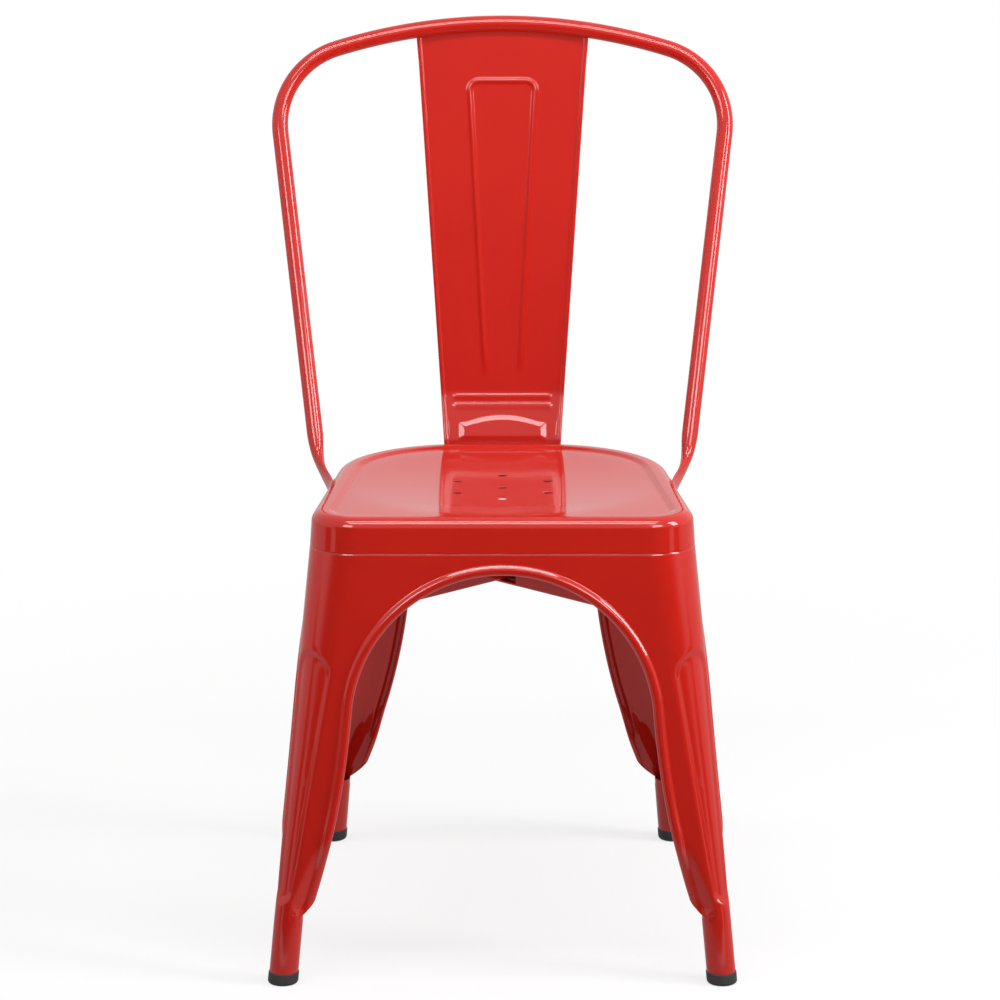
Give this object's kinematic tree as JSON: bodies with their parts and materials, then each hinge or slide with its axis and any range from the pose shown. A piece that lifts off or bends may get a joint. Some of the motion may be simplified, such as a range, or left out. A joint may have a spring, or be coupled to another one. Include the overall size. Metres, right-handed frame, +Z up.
{
  "type": "metal dining chair",
  "caption": "Stacking metal dining chair with a pressed sheet seat, splayed sheet legs with arched edges, a bent tube back and a tapering centre slat.",
  "frame": {"origin": "on the floor, below the middle of the chair's overall width and depth", "axes": "+X to the right as seen from the front, +Y towards the back, +Z up; the sitter faces -Y"},
  "size_m": [0.4578, 0.4903, 0.85],
  "materials": {
    "enamel": "very glossy red powder coat",
    "rubber": "matt dark grey rubber"
  },
  "bodies": {
    "root": {"seat_pan": "enamel", "front_left_leg": "enamel", "front_right_leg": "enamel", "rear_left_leg": "enamel", "rear_right_leg": "enamel", "front_left_foot": "rubber", "front_right_foot": "rubber", "rear_left_foot": "rubber", "rear_right_foot": "rubber", "back_hoop": "enamel", "back_slat": "enamel", "upper_brace_strip": "enamel", "lower_brace_strip": "enamel", "front_seam_weld": "enamel", "rear_seam_weld": "enamel", "side_seam_welds": "enamel", "seat_spot_welds": "enamel", "hoop_end_welds": "enamel", "slat_top_weld": "enamel", "slat_foot_welds": "enamel", "brace_end_welds": "enamel", "brace_cross_weld": "enamel"}
  },
  "joints": []
}
